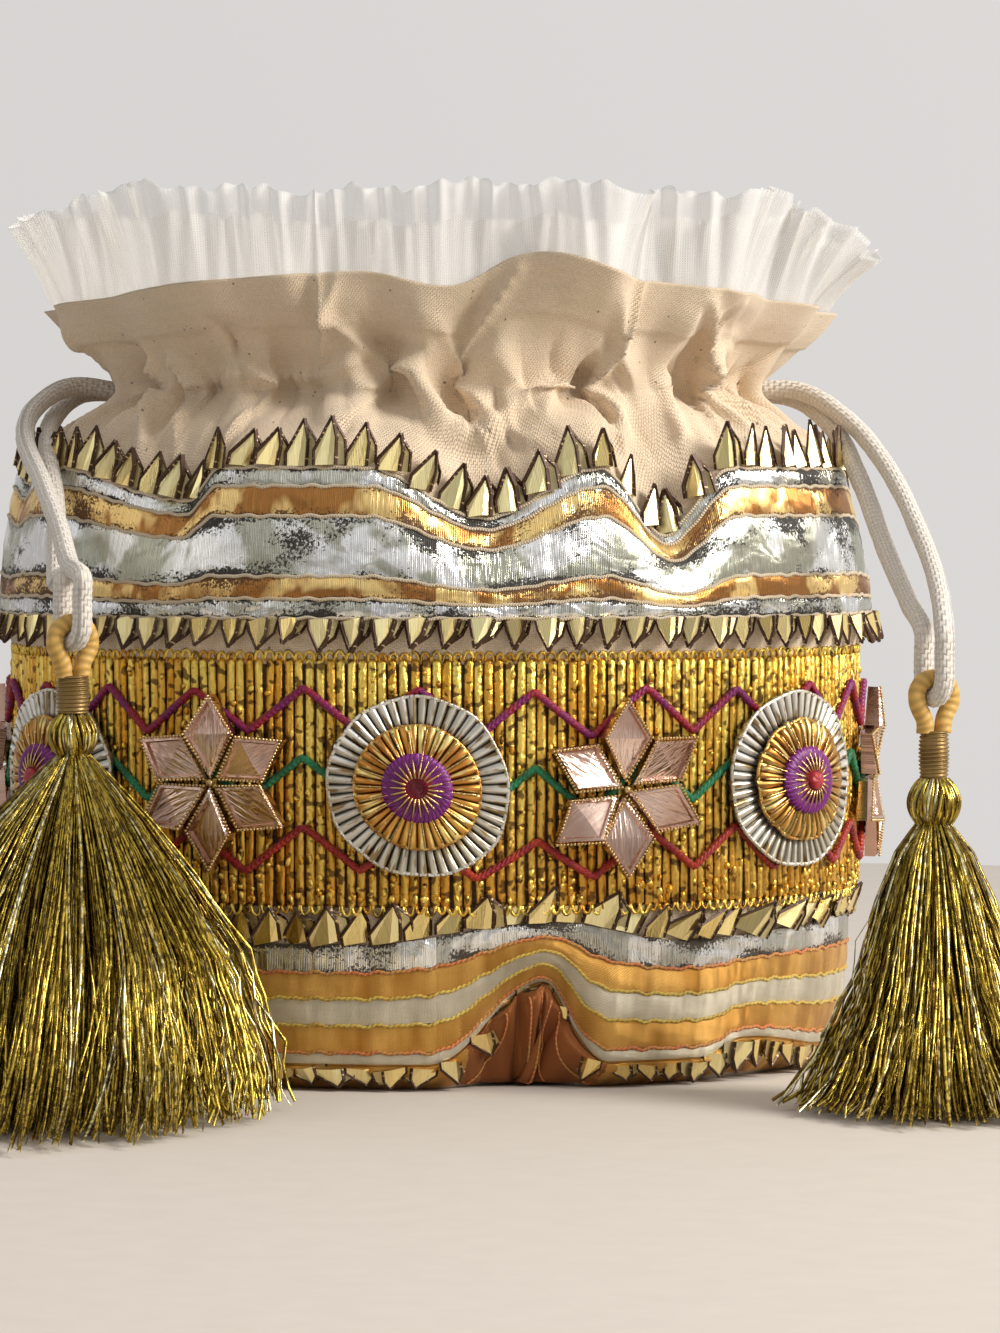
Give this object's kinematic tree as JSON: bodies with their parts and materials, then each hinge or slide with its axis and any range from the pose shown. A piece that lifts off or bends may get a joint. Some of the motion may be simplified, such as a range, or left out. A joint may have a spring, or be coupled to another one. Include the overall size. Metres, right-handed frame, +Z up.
{
  "type": "potli bag",
  "caption": "Gathered cotton drawstring pouch with foil ribbon bands, folded foil points, a ribbed gold panel with sewn motifs, a net frill and tasselled cords.",
  "frame": {"origin": "middle of the flat base, on the surface that the bag stands on", "axes": "+Z up, -Y towards the front that the picture shows, +X to the right seen from the front"},
  "size_m": [0.3186, 0.3105, 0.2337],
  "materials": {
    "unbleached_cotton": "plain weave, unbleached, with small dark flecks",
    "white_net": "soft see-through net",
    "silver_foil_ribbon": "worn silver foil on ribbon",
    "gold_foil_ribbon": "woven gold foil ribbon",
    "gold_satin_ribbon": "satin with stitched lines",
    "champagne_ribbon": "dull satin with a corded edge",
    "foil_points": "folded champagne foil with dark folds",
    "gold_ribs": "shiny gold bugle ribs",
    "magenta_thread": "silky embroidery thread",
    "green_thread": "silky embroidery thread",
    "red_thread": "silky embroidery thread",
    "silver_pleats": "pleated silver tissue ribbon",
    "gold_pleats": "pleated gold tissue ribbon",
    "rose_gold_foil": "folded rose gold foil",
    "cotton_cord": "braided cotton cord",
    "mustard_cord": "smooth silky cord",
    "bronze_whipping": "close whipped metallic thread",
    "gold_tinsel_thread": "glittering flat gold thread"
  },
  "bodies": {
    "bag": {"cotton_bag_body": "unbleached_cotton", "net_frill": "white_net", "upper_edge_silver_ribbon": "silver_foil_ribbon", "upper_lower_gold_ribbon": "gold_foil_ribbon", "upper_wide_silver_ribbon": "silver_foil_ribbon", "upper_upper_gold_ribbon": "gold_foil_ribbon", "upper_top_silver_ribbon": "silver_foil_ribbon", "lower_corded_edge_ribbon": "champagne_ribbon", "lower_satin_ribbon": "gold_satin_ribbon", "lower_foil_ribbon": "silver_foil_ribbon", "upper_band_top_points": "foil_points", "upper_band_bottom_points": "foil_points", "lower_band_top_points": "foil_points", "lower_band_bottom_points": "foil_points", "ribbed_gold_panel": "gold_ribs", "magenta_zigzag_thread": "magenta_thread", "green_zigzag_thread": "green_thread", "red_zigzag_thread": "red_thread", "rosette_1_silver_pleats": "silver_pleats", "rosette_1_gold_pleats": "gold_pleats", "rosette_1_thread_centre": "magenta_thread", "rosette_2_silver_pleats": "silver_pleats", "rosette_2_gold_pleats": "gold_pleats", "rosette_2_thread_centre": "magenta_thread", "rosette_3_silver_pleats": "silver_pleats", "rosette_3_gold_pleats": "gold_pleats", "rosette_3_thread_centre": "magenta_thread", "rosette_4_silver_pleats": "silver_pleats", "rosette_4_gold_pleats": "gold_pleats", "rosette_4_thread_centre": "magenta_thread", "rosette_5_silver_pleats": "silver_pleats", "rosette_5_gold_pleats": "gold_pleats", "rosette_5_thread_centre": "magenta_thread", "rosette_6_silver_pleats": "silver_pleats", "rosette_6_gold_pleats": "gold_pleats", "rosette_6_thread_centre": "magenta_thread", "star_1": "rose_gold_foil", "star_2": "rose_gold_foil", "star_3": "rose_gold_foil", "star_4": "rose_gold_foil", "star_5": "rose_gold_foil", "star_6": "rose_gold_foil", "neck_casing": "unbleached_cotton", "left_cord_run": "cotton_cord", "right_cord_run": "cotton_cord", "left_cord_front_strand": "cotton_cord", "left_cord_back_strand": "cotton_cord", "left_cord_bight": "cotton_cord", "right_cord_front_strand": "cotton_cord", "right_cord_back_strand": "cotton_cord", "right_cord_bight": "cotton_cord"},
    "left_tassel": {"left_tassel_loop": "mustard_cord", "left_tassel_binding": "bronze_whipping", "left_tassel_head": "gold_tinsel_thread", "left_tassel_skirt": "gold_tinsel_thread"},
    "right_tassel": {"right_tassel_loop": "mustard_cord", "right_tassel_binding": "bronze_whipping", "right_tassel_head": "gold_tinsel_thread", "right_tassel_skirt": "gold_tinsel_thread"}
  },
  "joints": [
    {"name": "left_tassel_swing", "type": "hinge", "parent": "bag", "child": "left_tassel", "pos_m": [-0.091, -0.102, 0.1154], "axis": [-0.5299, 0.848, 0], "range_deg": [0, 80]},
    {"name": "right_tassel_swing", "type": "hinge", "parent": "bag", "child": "right_tassel", "pos_m": [0.125, -0.102, 0.1014], "axis": [0.4226, -0.9063, 0], "range_deg": [0, 80]}
  ]
}
